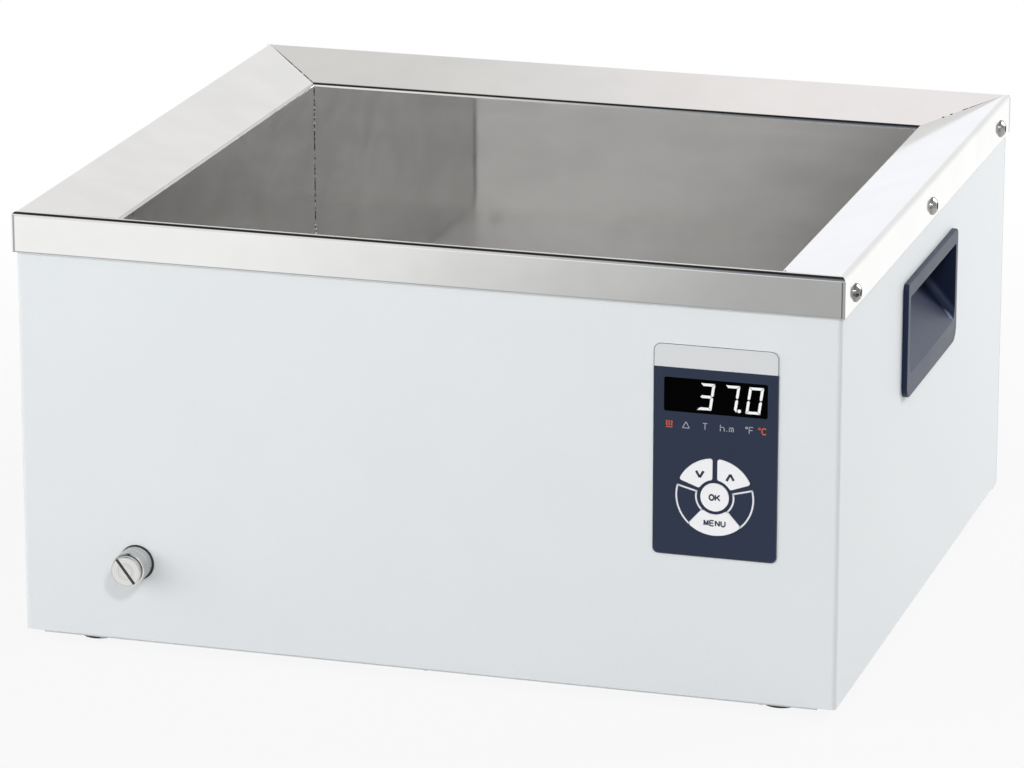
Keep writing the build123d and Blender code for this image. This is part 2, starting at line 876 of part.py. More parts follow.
def mains_rocker():
    """Rocker about a pin, tilted to its off side."""
    half = rocker_height / 2 - fit_gap
    foot = half * rocker_foot_share
    face = make_face(Polyline(
        (-half, 0), (-half, rocker_rise), (0, rocker_rise - rocker_dip), (half, rocker_rise),
        (half, 0), (foot, -rocker_back), (-foot, -rocker_back), close=True))
    face &= Circle(rocker_height / 2)
    width = rocker_width - 2 * fit_gap
    body = extrude(Plane.YZ * face, amount=width / 2, both=True)
    body += Rot(0, 90, 0) * Cylinder(rocker_pin_radius, rocker_width + 2 * rocker_pin_length)
    return inlet_place * (Pos(0, rocker_y, pivot_depth) * Rot(rocker_swing, 0, 0) * body)


# Heater, sensor and cut-out under the bath floor

heater_z = floor_under_z - heater_radius
heater_plate_z = heater_z - heater_radius
heater_half = bath_x - rim_sheet - heater_side_gap
heater_reach = bath_y - rim_sheet - heater_front_gap
heater_pitch = 2 * heater_reach / (heater_passes - 1)
heater_plate_half = bath_x - rim_sheet - heater_plate_gap


def heater_tube():
    """Tubular heater in level passes, pressed to flats, with both cold ends turned down."""
    half = heater_half
    points = [(half + heater_bend * 2, -heater_reach, heater_z - heater_tail),
              (half + heater_bend * 2, -heater_reach, heater_z)]
    for index in range(heater_passes):
        y = index * heater_pitch - heater_reach
        side = 1 if index % 2 else -1
        if index:
            points.append((-side * half, y, heater_z))
        if index < heater_passes - 1:
            points.append((side * half, y, heater_z))
    side = 1 if heater_passes % 2 == 0 else -1
    points.append((side * (half + heater_bend * 2), heater_reach, heater_z))
    points.append((side * (half + heater_bend * 2), heater_reach, heater_z - heater_tail))
    turn = heater_pitch * heater_bend_share
    radii = [heater_bend] + [turn] * 2 * (heater_passes - 1) + [heater_bend]
    line = FilletPolyline(*points, radius=radii)
    start = Plane(origin=line @ 0, z_dir=line % 0)
    section = RegularPolygon(heater_radius, heater_flats, major_radius=False, rotation=180 / heater_flats)
    return sweep(start * section, path=line)


def stud_places():
    """Studs near the corners of the clamp plate."""
    x = heater_plate_half - stud_inset
    y = heater_reach + heater_plate_margin - stud_inset / 2
    return [(sx * x, sy * y) for sx in (-1, 1) for sy in (-1, 1)]


def heater_plate():
    """Clamp plate that presses the heater to the floor."""
    x = heater_plate_half
    y = heater_reach + heater_plate_margin
    plate = block(-x, x, -y, y, heater_plate_z - heater_plate_sheet, heater_plate_z)
    for sx, sy in stud_places():
        plate -= Pos(sx, sy, heater_plate_z) * Cylinder(
            stud_radius + fit_gap / 2, 2 * (heater_plate_sheet + overrun))
    return plate


def heater_studs():
    """Welded studs from the bath floor through the clamp plate."""
    length = floor_under_z - heater_plate_z + heater_plate_sheet + stud_tail
    stud = Cylinder(stud_radius, length)
    return group([Pos(x, y, floor_under_z - length / 2) * stud for x, y in stud_places()])


def stud_nuts():
    """Hexagon nuts on the studs."""
    nut = extrude(RegularPolygon(stud_nut_radius, 6), amount=-stud_nut_height)
    nut -= Cylinder(stud_radius + running_gap, 3 * stud_nut_height)
    return group([Pos(x, y, heater_plate_z - heater_plate_sheet) * nut for x, y in stud_places()])


def temperature_sensor():
    """Rod sensor against the floor, between two heater passes."""
    rod = Rot(0, 90, 0) * Cylinder(sensor_radius, sensor_length)
    return Pos(0, 0, floor_under_z - sensor_radius) * chamfer(rod.edges(), sensor_chamfer)


def limit_thermostat():
    """Disc cut-out against the floor beside the clamp plate."""
    x = bath_x - rim_sheet - cutout_inset
    disc = Cylinder(cutout_radius, cutout_height)
    return Pos(x, 0, floor_under_z - cutout_height / 2) * disc


def insulation():
    """Mineral fibre jacket round the bath walls."""
    x = bath_x + rim_sheet
    y = bath_y + rim_sheet
    top = deck_edge_z - insulation_top_gap
    outer = block(-x - insulation_thick, x + insulation_thick, -y - insulation_thick, y + insulation_thick,
                  lip_z, top)
    return outer - block(-x, x, -y, y, lip_z - overrun, top + overrun)


# Power board on the base plate

power_x0 = wall_in_x - power_side_inset - power_width
power_y0 = power_front_inset - wall_in_y
power_z = base_top_z + power_post_height
power_top_z = power_z + board_sheet


def power_post_places():
    """Middle of each post under the power board."""
    xs = (power_x0 + power_post_inset, power_x0 + power_width - power_post_inset)
    ys = (power_y0 + power_post_inset, power_y0 + power_depth - power_post_inset)
    return [(x, y) for x in xs for y in ys]


def power_posts():
    """Posts that stand on the base plate."""
    post = Cylinder(power_post_radius, power_post_height)
    return group([Pos(x, y, base_top_z + power_post_height / 2) * post for x, y in power_post_places()])


def power_board():
    """Circuit board on its posts."""
    return block(power_x0, power_x0 + power_width, power_y0, power_y0 + power_depth, power_z, power_top_z)


def transformer():
    """Small encapsulated transformer."""
    x = power_x0 + power_margin
    y = power_y0 + power_depth - power_margin
    body = block(x, x + transformer_width, y - transformer_depth, y, power_top_z,
                 power_top_z + transformer_height)
    return fillet(body.edges().filter_by(Axis.Z), transformer_round)


def heater_relay():
    """Relay that switches the heater."""
    x = power_x0 + transformer_width + 2 * power_margin
    y = power_y0 + power_depth - power_margin
    return block(x, x + relay_width, y - relay_depth, y, power_top_z, power_top_z + relay_height)


def heat_sink():
    """Finned aluminium sink behind the relay."""
    x = power_x0 + power_width - power_margin - sink_width
    y = power_y0 + power_margin + terminal_depth + power_margin
    sink = block(x, x + sink_width, y, y + sink_base, power_top_z, power_top_z + sink_height)
    step = (sink_width - sink_fin_sheet) / (sink_fins - 1)
    for index in range(sink_fins):
        left = x + index * step
        sink += block(left, left + sink_fin_sheet, y, y + sink_depth, power_top_z, power_top_z + sink_height)
    return sink


def terminal_block():
    """Screw terminals along the board's front edge."""
    x = power_x0 + power_margin
    y = power_y0 + power_margin
    body = block(x, x + terminal_width, y, y + terminal_depth, power_top_z, power_top_z + terminal_height)
    pitch = terminal_width / terminal_ways
    for index in range(terminal_ways):
        middle = x + (index + 0.5) * pitch
        well = Cylinder(terminal_hole, terminal_height)
        body -= Pos(middle, y + terminal_depth / 2, power_top_z + terminal_height) * well
    return body


# All pieces by node name

def bath_sides():
    """The four mitred bath sheets, with screw holes in the side skirts."""
    long_sheet = bath_sheet(rim_width, half_depth)
    side_sheet = Rot(0, 0, 90) * bath_sheet(rim_depth, half_width)
    for hole in screw_holes(rim_screw_places()[3:], rim_screw_radius):
        side_sheet -= hole
    return {
        "bath_front": long_sheet,
        "bath_back": Rot(0, 0, 180) * long_sheet,
        "bath_right": side_sheet,
        "bath_left": Rot(0, 0, 180) * side_sheet,
    }


def screw_groups():
    """Screws and nuts by the sheet they hold."""
    kinds = {
        "rim": (rim_screw_places(), rim_sheet + housing_sheet,
                (rim_screw_radius, rim_screw_length, rim_screw_head, rim_screw_rise)),
        "rear": (rear_screw_places(), 2 * housing_sheet,
                 (rear_screw_radius, rear_screw_length, rear_screw_head, rear_screw_rise)),
        "base": (base_screw_places(), housing_sheet + base_sheet,
                 (base_screw_radius, base_screw_length, base_screw_head, base_screw_rise)),
    }
    nodes = {}
    for name, (places, depth, (radius, length, head, rise)) in kinds.items():
        screw = pan_screw(radius - running_gap, length, head, rise)
        nut = Pos(0, 0, -depth) * clinch_nut(radius)
        nodes[name + "_screws"] = group([place * screw for place in places])
        nodes[name + "_nuts"] = group([place * nut for place in places])
    nut = Pos(0, 0, base_top_z + nut_height) * clinch_nut(foot_screw_radius + running_gap)
    nodes["foot_nuts"] = group([Pos(x, y) * nut for x, y in foot_places()])
    return nodes


def all_parts():
    """Every node of the bath, built round the middle of the rim."""
    right = handle()
    parts = {
        **bath_sides(),
        "bath_floor": bath_floor(),
        "housing": housing(),
        "rear_panel": rear_panel(),
        "base_plate": base_plate(),
        **screw_groups(),
        "feet": group([Pos(x, y, 0) * foot() for x, y in foot_places()]),
        "foot_screws": group([Pos(x, y, 0) * foot_screw() for x, y in foot_places()]),
        "handle_right": right,
        "handle_left": mirror(right, Plane.YZ),
        "control_overlay": control_overlay(),
        "display_window": display_window(),
        "key_carrier": key_carrier(),
        "controller_board": controller_board(),
        "board_screws": board_screws(),
        "display_module": display_module(),
        "key_switches": key_switches(),
        "drain_sleeve": drain_sleeve(),
        "drain_gasket": drain_place * ring(
            spigot_radius + running_gap, sleeve_radius + gasket_lip, 0, gasket_sheet),
        "drain_nut": drain_nut(),
        "drain_pipe": drain_pipe(),
        "drain_plug": drain_plug(),
        "plug_seal": drain_place * ring(drain_bore, plug_seal_radius, sleeve_end, plug_seat),
        "mains_inlet": mains_inlet(),
        "inlet_pins": inlet_pins(),
        "fuse_drawer": fuse_drawer(),
        "fuses": fuses(),
        "mains_rocker": mains_rocker(),
        "heater_tube": heater_tube(),
        "heater_plate": heater_plate(),
        "heater_studs": heater_studs(),
        "stud_nuts": stud_nuts(),
        "temperature_sensor": temperature_sensor(),
        "limit_thermostat": limit_thermostat(),
        "insulation": insulation(),
        "power_posts": power_posts(),
        "power_board": power_board(),
        "transformer": transformer(),
        "heater_relay": heater_relay(),
        "heat_sink": heat_sink(),
        "terminal_block": terminal_block(),
    }
    for name, face in key_faces().items():
        parts[name] = key(name, face)
    return parts


def main():
    """Move the bath over its origin and write each node."""
    parts = all_parts()
    boxes = [part.bounding_box() for part in parts.values()]
    low = min(box.min.Y for box in boxes)
    high = max(box.max.Y for box in boxes)
    shift = -(low + high) / 2
    print("rim middle lies at Y", shift)
    os.makedirs("parts", exist_ok=True)
    for name, part in parts.items():
        moved = [Pos(0, shift, 0) * solid for solid in part.solids()]
        export_step(moved[0] if len(moved) == 1 else Compound(moved), f"parts/{name}.step")


main()
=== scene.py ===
"""Laboratory water bath: a welded stainless bath in a coated housing, with a keypad, a drain and two grips.

The CAD nodes keep their meshes and get their finishes here. What is added is thin: prints, welds and seams,
among them painted shade and painted glints.
"""

import json
import math

import bmesh
import bpy
from mathutils import Matrix, Vector


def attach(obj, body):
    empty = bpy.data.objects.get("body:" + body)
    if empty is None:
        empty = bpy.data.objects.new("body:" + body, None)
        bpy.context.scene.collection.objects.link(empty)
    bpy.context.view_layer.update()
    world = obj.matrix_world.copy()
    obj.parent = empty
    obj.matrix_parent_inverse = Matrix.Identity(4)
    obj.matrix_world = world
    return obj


MM = 0.001

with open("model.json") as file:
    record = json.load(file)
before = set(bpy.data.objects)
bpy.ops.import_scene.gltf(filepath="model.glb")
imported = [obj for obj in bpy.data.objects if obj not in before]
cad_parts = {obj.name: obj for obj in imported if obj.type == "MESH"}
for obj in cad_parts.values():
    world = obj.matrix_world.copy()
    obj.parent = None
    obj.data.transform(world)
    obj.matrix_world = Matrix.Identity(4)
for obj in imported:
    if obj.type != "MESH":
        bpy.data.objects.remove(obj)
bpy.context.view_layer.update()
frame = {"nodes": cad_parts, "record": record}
scene = bpy.context.scene

# Places on the CAD model, in millimetres
rim_x, rim_front, rim_rear = 218.0, -191.992, 204.008
skirt_low = 210.1
bath_half_width, bath_half_depth, bath_middle_y, bath_low = 176.2, 156.2, 6.0, 72.0
wall_y, foil_y, key_y = -190.492, -191.092, -191.392
foil_low, foil_high, foil_round = Vector((121.4, 80.9)), Vector((185.2, 190.3)), 4.0
header_low = 178.3
keys_middle = Vector((153.3, 112.7))
drain_x, drain_z, plug_head_y = -154.0, 49.0, -207.49


# Colours and node trees


def linear(hex_colour):
    """An sRGB colour such as "A0B1C2" as linear RGBA."""
    channels = [int(hex_colour[i : i + 2], 16) / 255 for i in (0, 2, 4)]
    return [c / 12.92 if c <= 0.04045 else ((c + 0.055) / 1.055) ** 2.4 for c in channels] + [1.0]


def add(tree, kind, inputs=None, stops=None, **settings):
    """Adds one node. Inputs are values or the sockets that feed them, stops are a ramp's (place, colour)."""
    made = tree.nodes.new(kind)
    for name, value in settings.items():
        setattr(made, name, value)
    for name, value in (inputs or {}).items():
        if isinstance(value, bpy.types.NodeSocket):
            tree.links.new(value, made.inputs[name])
        else:
            made.inputs[name].default_value = value
    if stops:
        ramp = made.color_ramp
        while len(ramp.elements) < len(stops):
            ramp.elements.new(1.0)
        for element, (place, colour) in zip(ramp.elements, stops):
            element.position = place
            element.color = linear(colour) if isinstance(colour, str) else (colour, colour, colour, 1.0)
    return made


def material(name, roughness=None, metallic=0.0, specular=None):
    """A new material: itself, its tree, its Principled shader and its Object coordinates."""
    made = bpy.data.materials.new(name)
    made.use_nodes = True
    tree = made.node_tree
    tree.nodes.clear()
    shader = add(tree, "ShaderNodeBsdfPrincipled", {"Metallic": metallic})
    if roughness is not None:
        shader.inputs["Roughness"].default_value = roughness
    if specular is not None:
        shader.inputs["Specular IOR Level"].default_value = specular
    add(tree, "ShaderNodeOutputMaterial", {"Surface": shader.outputs[0]})
    return made, tree, shader, add(tree, "ShaderNodeTexCoord").outputs["Object"]


def feed(tree, shader, **sources):
    """Links nodes' first outputs to the shader's sockets."""
    for name, source in sources.items():
        tree.links.new(source.outputs[0], shader.inputs[name.replace("_", " ")])


def per_metre(size_mm):
    """The noise scale whose marks are about this many millimetres across."""
    return 1000 / size_mm


def grained(
    name, dark, light, grain, roughness,
    bump=0.1, metallic=0.0, spread=0.08, cloud=40, specular=None, tint=None,
):
    """A finish with a fine grain in its relief, and a tone and roughness that drift a little over it.

    The grain and the clouds are in millimetres. Where the real grain is finer than the render can show, as on
    rubber, foil and mouldings, it is drawn a few tenths of a millimetre coarse.
    """
    made, tree, shader, place = material(name, metallic=metallic, specular=specular)
    if tint:
        shader.inputs["Specular Tint"].default_value = linear(tint)
    fine = add(tree, "ShaderNodeTexNoise", {"Vector": place, "Scale": per_metre(grain), "Detail": 2.0})
    slow = add(tree, "ShaderNodeTexNoise", {"Vector": place, "Scale": per_metre(cloud), "Detail": 3.0})
    tone = add(tree, "ShaderNodeMix", {0: 0.5, 2: slow.outputs["Fac"], 3: fine.outputs["Fac"]})
    colour = add(tree, "ShaderNodeValToRGB", {"Fac": tone.outputs[0]}, stops=[(0.35, dark), (0.65, light)])
    rough = add(
        tree,
        "ShaderNodeMapRange",
        {"Value": tone.outputs[0], "From Min": 0.35, "From Max": 0.65,
         "To Min": roughness - spread / 2, "To Max": roughness + spread / 2},
    )
    relief = add(
        tree, "ShaderNodeBump", {"Strength": bump, "Distance": grain * MM / 4, "Height": fine.outputs["Fac"]}
    )
    feed(tree, shader, Base_Color=colour, Roughness=rough, Normal=relief)
    return made


def stainless_sheet(name, inner=("D9D9D8", "DFDFDE"), dull=0.0, satin=0.0, drawn=0.0):
    """Cold-rolled stainless sheet: nearly a mirror, with a slow wave and faint clouds.

    Inside the bath it has the inner colours, is duller by dull, and scatters the satin share of its light. A
    drawn sheet was rolled along X: what it mirrors smears up and down, and upright edges in it stay sharp.
    """
    made, tree, shader, place = material(name, metallic=1.0)
    if drawn:
        shader.inputs["Anisotropic"].default_value = drawn
        feed(tree, shader, Tangent=add(tree, "ShaderNodeCombineXYZ", {"Y": 0.7, "Z": 0.7}))
    axes = add(tree, "ShaderNodeSeparateXYZ", {"Vector": place})
    across, along = (
        add(tree, "ShaderNodeMath", {0: axes.outputs[axis], 1: at * MM, 2: half * MM}, operation="COMPARE")
        for axis, at, half in (("X", 0.0, bath_half_width), ("Y", bath_middle_y, bath_half_depth))
    )
    inside = add(tree, "ShaderNodeMath", {0: across.outputs[0], 1: along.outputs[0]}, operation="MULTIPLY")

    wave, cloud, grain = (
        add(tree, "ShaderNodeTexNoise", {"Vector": place, "Scale": per_metre(size), "Detail": detail})
        for size, detail in ((120, 1.0), (30, 4.0), (0.6, 2.0))
    )
    stretched = add(tree, "ShaderNodeMapping", {"Vector": place, "Scale": (0.5, 1.0, 1.6)})
    smoke = add(
        tree,
        "ShaderNodeTexNoise",
        {"Vector": stretched.outputs[0], "Scale": per_metre(40), "Detail": 5.0, "Distortion": 1.0},
    )
    outer_tone = add(
        tree, "ShaderNodeValToRGB", {"Fac": cloud.outputs["Fac"]}, stops=[(0.3, "D9D9D8"), (0.7, "DFDFDE")]
    )
    inner_tone = add(
        tree, "ShaderNodeValToRGB", {"Fac": smoke.outputs["Fac"]}, stops=[(0.35, inner[0]), (0.65, inner[1])]
    )
    tone = add(
        tree,
        "ShaderNodeMix",
        {0: inside.outputs[0], 6: outer_tone.outputs[0], 7: inner_tone.outputs[0]},
        data_type="RGBA",
    )
    tree.links.new(tone.outputs[2], shader.inputs["Base Color"])

    rough = add(
        tree,
        "ShaderNodeMapRange",
        {"Value": cloud.outputs["Fac"], "From Min": 0.3, "From Max": 0.7, "To Min": 0.06, "To Max": 0.1},
    )
    duller, mirror = (
        add(tree, "ShaderNodeMath", {0: inside.outputs[0], 1: share, 2: start}, operation="MULTIPLY_ADD")
        for share, start in ((dull, rough.outputs[0]), (-satin, 1.0))
    )
    swell = add(
        tree, "ShaderNodeBump", {"Strength": 0.1, "Distance": 0.5 * MM, "Height": wave.outputs["Fac"]}
    )
    relief = add(
        tree,
        "ShaderNodeBump",
        {"Strength": 0.03, "Distance": 0.05 * MM, "Height": grain.outputs["Fac"], "Normal": swell.outputs[0]},
    )
    feed(tree, shader, Roughness=duller, Metallic=mirror, Normal=relief)
    return made


def weld_metal(name, bright):
    """Weld metal left as it cooled: dull and dark with oxide, and bright in drops where the noise is high."""
    made, tree, shader, place = material(name, metallic=1.0)
    drops = add(
        tree,
        "ShaderNodeTexNoise",
        {"Vector": place, "Scale": per_metre(3.5), "Detail": 3.0, "Roughness": 0.6},
    )
    colour = add(
        tree,
        "ShaderNodeValToRGB",
        {"Fac": drops.outputs["Fac"]},
        stops=[(0.4, "262523"), (bright - 0.04, "403E3B"), (bright, "D6D6D4")],
    )
    rough = add(
        tree,
        "ShaderNodeMapRange",
        {"Value": drops.outputs["Fac"], "From Min": 0.4, "From Max": 0.6, "To Min": 0.5, "To Max": 0.2},
    )
    relief = add(
        tree, "ShaderNodeBump", {"Strength": 0.3, "Distance": 0.2 * MM, "Height": drops.outputs["Fac"]}
    )
    feed(tree, shader, Base_Color=colour, Roughness=rough, Normal=relief)
    return made


def turned_steel(axis_x, axis_z):
    """Stainless turned on a lathe: fine rings round the axis that catch the light as a sheen."""
    made, tree, shader, place = material("turned_steel", metallic=1.0)
    axes = add(tree, "ShaderNodeSeparateXYZ", {"Vector": place})
    flat = add(tree, "ShaderNodeCombineXYZ", {"X": axes.outputs["X"], "Z": axes.outputs["Z"]})
    reach = add(
        tree, "ShaderNodeVectorMath", {0: flat.outputs[0], 1: (axis_x, 0.0, axis_z)}, operation="DISTANCE"
    )
    spiral = add(tree, "ShaderNodeCombineXYZ", {"X": reach.outputs["Value"], "Y": axes.outputs["Y"]})
    rings = add(
        tree, "ShaderNodeTexNoise", {"Vector": spiral.outputs[0], "Scale": per_metre(0.9), "Detail": 3.0}
    )
    wear = add(tree, "ShaderNodeTexNoise", {"Vector": place, "Scale": per_metre(4), "Detail": 3.0})
    colour = add(
        tree, "ShaderNodeValToRGB", {"Fac": rings.outputs["Fac"]}, stops=[(0.35, "BABAB9"), (0.65, "CECECD")]
    )
    rough = add(
        tree,
        "ShaderNodeMapRange",
        {"Value": wear.outputs["Fac"], "From Min": 0.35, "From Max": 0.65, "To Min": 0.2, "To Max": 0.26},
    )
    relief = add(
        tree, "ShaderNodeBump", {"Strength": 0.1, "Distance": 0.08 * MM, "Height": rings.outputs["Fac"]}
    )
    feed(tree, shader, Base_Color=colour, Roughness=rough, Normal=relief)
    return made


def printed_foil(split):
    """Polyester foil printed from behind, satin: navy below and light grey above the header's line."""
    made, tree, shader, place = material("printed_foil", roughness=0.5, specular=0.12)
    fine = add(tree, "ShaderNodeTexNoise", {"Vector": place, "Scale": per_metre(0.35), "Detail": 1.0})
    navy, grey = (
        add(tree, "ShaderNodeValToRGB", {"Fac": fine.outputs["Fac"]}, stops=[(0.3, dark), (0.7, light)])
        for dark, light in (("2B3346", "2F374A"), ("D8DADC", "DCDEE0"))
    )
    axes = add(tree, "ShaderNodeSeparateXYZ", {"Vector": place})
    above = add(tree, "ShaderNodeMath", {0: axes.outputs["Z"], 1: split}, operation="GREATER_THAN")
    colour = add(
        tree, "ShaderNodeMix", {0: above.outputs[0], 6: navy.outputs[0], 7: grey.outputs[0]}, data_type="RGBA"
    )
    relief = add(
        tree, "ShaderNodeBump", {"Strength": 0.1, "Distance": 0.02 * MM, "Height": fine.outputs["Fac"]}
    )
    tree.links.new(colour.outputs[2], shader.inputs["Base Color"])
    feed(tree, shader, Normal=relief)
    return made


finishes = {
    # Bare sheet of the bath and its rim: see stainless_sheet
    "rim_stainless": stainless_sheet("stainless_sheet"),
    # Polyester powder baked on steel sheet, off-white: an even satin skin, faintly pebbled
    "coated_sheet": grained("powder_coat", "E2E6E8", "E4E8EA", 1.2, 0.4, bump=0.05),
    # Zinc-plated steel: a soft grey shine in clouds
    "zinc_sheet": grained("zinc_plate", "A5A8AB", "B6B8BA", 4.0, 0.38, metallic=1.0),
    # Stainless screws with cold-headed pans: darker than the sheet, with a small keen highlight
    "screw_steel": grained("screw_steel", "81807F", "9C9B9A", 0.5, 0.2, metallic=1.0),
    # The drain's fittings: see turned_steel
    "turned_steel": turned_steel(drain_x * MM, drain_z * MM),
    # Moulded nitrile rubber: nearly black and matt
    "black_rubber": grained("black_rubber", "1C1C1E", "26262A", 0.8, 0.7, bump=0.2),
    # Slate blue ABS moulded in a spark-eroded tool: a bluish satin
    "handle_plastic": grained(
        "slate_moulding", "151D30", "1A2238", 0.5, 0.42, bump=0.12, specular=0.4, tint="B0C8F4"
    ),
    "overlay_foil": printed_foil(header_low * MM),
    # Smoked acrylic over the dark display: even black with hardly a gleam from in front
    "display_lens": grained(
        "display_lens", "010102", "020203", 5.0, 0.15, bump=0.0, spread=0.02, specular=0.02
    ),
    # White foil embossed over the keys: satin with the print's fine tooth
    "key_foil": grained("key_foil", "F3F3F6", "F6F6F9", 0.35, 0.45, bump=0.08),
    # Black nylon mouldings: charcoal, softly satin
    "black_plastic": grained("black_moulding", "17181A", "202124", 0.5, 0.45, bump=0.15),
    # Glass-fibre board under green solder mask: smooth, half glossy
    "circuit_board": grained("solder_mask", "1B5A36", "226B40", 1.5, 0.35),
    # Uncoloured nylon: milky cream
    "post_plastic": grained("natural_nylon", "CFCBB4", "DCD8C4", 1.0, 0.45),
    # Green nylon of terminal blocks: satin
    "terminal_plastic": grained("green_moulding", "2E7A48", "378A53", 0.8, 0.45),
    # Aluminium as it leaves the mill: pale and softly bright
    "aluminium_sheet": grained("mill_aluminium", "C4C5C7", "D4D5D6", 2.0, 0.35, metallic=1.0),
    # Plated brass of the inlet's blades: pale gold, bright
    "pin_brass": grained("plated_brass", "B99A58", "C9AC6A", 1.0, 0.3, metallic=1.0),
    # Fuse tubes inside their drawer: pale and glossy
    "fuse_glass": grained("fuse_glass", "DDE2E2", "E8ECEC", 2.0, 0.1, bump=0.0),
    # Pressed mineral fibre round the bath: dull and shaggy
    "foam": grained("mineral_fibre", "9A9788", "C0BDAE", 0.8, 0.9, bump=0.6),
}
for part in frame["record"]["subparts"]:
    frame["nodes"][part["node"]].material_slots[0].material = finishes[part["material_slot"]]

# Each wall of the bath shows its own wear in roughness and satin: the front is the most scoured, and the back
# the most mirror-like.
# Their inner colours paint light and shade: the side walls darker, the front lighter.
side_steel_painted_shade = stainless_sheet("stainless_side_painted_shade", ("BCBBBA", "C8C7C6"))
for node, steel in {
    "bath_front": stainless_sheet("stainless_front_painted_light", ("DDDCDB", "ECEBEA"), dull=0.4, satin=0.95),
    "bath_back": stainless_sheet("stainless_back", dull=-0.02, drawn=1.0),
    "bath_floor": stainless_sheet("stainless_floor", ("DAD9D8", "E8E7E6"), dull=0.15, satin=0.5),
    "bath_left": side_steel_painted_shade,
    "bath_right": side_steel_painted_shade,
}.items():
    frame["nodes"][node].material_slots[0].material = steel


# Thin prints on the front, drawn as (x, z) in millimetres and set at their depth


def piece(name, bm, body, finish):
    """Makes the mesh an object in metres that rides on a body."""
    bmesh.ops.scale(bm, vec=(MM, MM, MM), verts=bm.verts)
    bmesh.ops.recalc_face_normals(bm, faces=bm.faces)
    mesh = bpy.data.meshes.new(name)
    bm.to_mesh(mesh)
    bm.free()
    made = bpy.data.objects.new(name, mesh)
    scene.collection.objects.link(made)
    mesh.materials.append(finish)
    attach(made, body)
    return made


def outline(bm, corners, y):
    """A flat face with these (x, z) corners."""
    return bm.faces.new([bm.verts.new((x, y, z)) for x, z in corners])


def bar(bm, start, end, width, y, point=0.0):
    """A straight stroke between two (x, z) points, its ends drawn out to a point."""
    a, b = Vector(start), Vector(end)
    along = (b - a).normalized()
    side = Vector((-along.y, along.x)) * width / 2
    tips = [[b + along * point], [a - along * point]] if point else [[], []]
    outline(bm, [a - side, b - side, *tips[0], b + side, a + side, *tips[1]], y)


def arc(bm, centre, inner, outer, start, end, y, squash=1.0, steps=24):
    """A curved stroke between two radii and two angles in degrees, spun about the centre."""
    before = set(bm.verts)
    turn = math.radians(start)
    ends = [bm.verts.new((r * math.cos(turn), 0, r * math.sin(turn))) for r in (inner, outer)]
    bmesh.ops.spin(
        bm,
        geom=[bm.edges.new(ends), *ends],
        cent=(0, 0, 0),
        axis=(0, -1, 0),
        angle=math.radians(end - start),
        steps=steps,
        use_merge=False,
    )
    new = [v for v in bm.verts if v not in before]
    bmesh.ops.scale(bm, vec=(1, 1, squash), verts=new)
    bmesh.ops.translate(bm, vec=(centre[0], y, centre[1]), verts=new)


# Plain letters as strokes in a box one unit wide and high; a bow is (middle, half width, half height, angles)
letters = {
    "O": [((0.5, 0.5), 0.5, 0.5, 0, 360)],
    "K": [((0, 0), (0, 1)), ((0.08, 0.38), (0.95, 1)), ((0.35, 0.58), (1, 0))],
    "M": [((0, 0), (0, 1)), ((0.04, 0.96), (0.5, 0.1)), ((0.5, 0.1), (0.96, 0.96)), ((1, 1), (1, 0))],
    "E": [((0, 0), (0, 1)), ((0, 1), (1, 1)), ((0, 0.52), (0.9, 0.52)), ((0, 0), (1, 0))],
    "N": [((0, 0), (0, 1)), ((0.04, 0.96), (0.96, 0.04)), ((1, 0), (1, 1))],
    "U": [((0, 1), (0, 0.4)), ((1, 1), (1, 0.4)), ((0.5, 0.4), 0.5, 0.4, 180, 360)],
    "T": [((0, 1), (1, 1)), ((0.5, 0), (0.5, 1))],
    "F": [((0, 0), (0, 1)), ((0, 1), (1, 1)), ((0, 0.52), (0.85, 0.52))],
    "C": [((0.55, 0.5), 0.5, 0.5, 45, 315)],
    "h": [((0, 0), (0, 1)), ((0.5, 0.4), 0.5, 0.25, 0, 180), ((1, 0), (1, 0.4))],
    "m": [((0, 0), (0, 0.66)), ((0.5, 0), (0.5, 0.42)), ((1, 0), (1, 0.42)),
          ((0.25, 0.42), 0.25, 0.24, 0, 180), ((0.75, 0.42), 0.25, 0.24, 0, 180)],
    ".": [((0.5, 0), (0.5, 0.14))],
    "o": [((0.6, 0.87), 0.26, 0.13, 0, 360)],
}


def write(bm, text, left, low, width, height, weight, pitch, y):
    """Letters of one width and height, the first with its lower left corner at (left, low)."""
    for index, letter in enumerate(text):
        x = left + index * pitch
        for stroke in letters[letter]:
            if len(stroke) == 2:
                ends = [Vector((x + u * width, low + v * height)) for u, v in stroke]
                bar(bm, *ends, weight, y)
            else:
                (u, v), half_u, half_v, start, end = stroke
                outer = half_u * width + weight / 2
                squash = (half_v * height + weight / 2) / outer
                arc(bm, (x + u * width, low + v * height), outer - weight, outer, start, end, y, squash)


# Each print lies this far in front of its foil
ink = 0.04
foil_print_y, key_print_y = foil_y - ink, key_y - ink

# Screen inks on the foil: matt and even, with the fine tooth of its face. The digits stand for the lit bars
# behind the lens. The last, for the line round the foil's edge, is painted shade and no ink.
white_print = grained("white_digits", "F4F4F4", "FFFFFF", 0.5, 0.4)
orange_print = grained("orange_print", "C4552C", "CE5F35", 0.35, 0.5)
grey_print = grained("grey_print", "E0E2E6", "E6E8EC", 0.35, 0.5)
icon_print = grained("icon_print", "A9ACB6", "B3B6C0", 0.35, 0.5)
navy_print = grained("navy_print", "1E2434", "242A3B", 0.35, 0.5)
edge_shade_paint = grained("painted_edge_shade", "3A3E48", "444852", 0.35, 0.5)

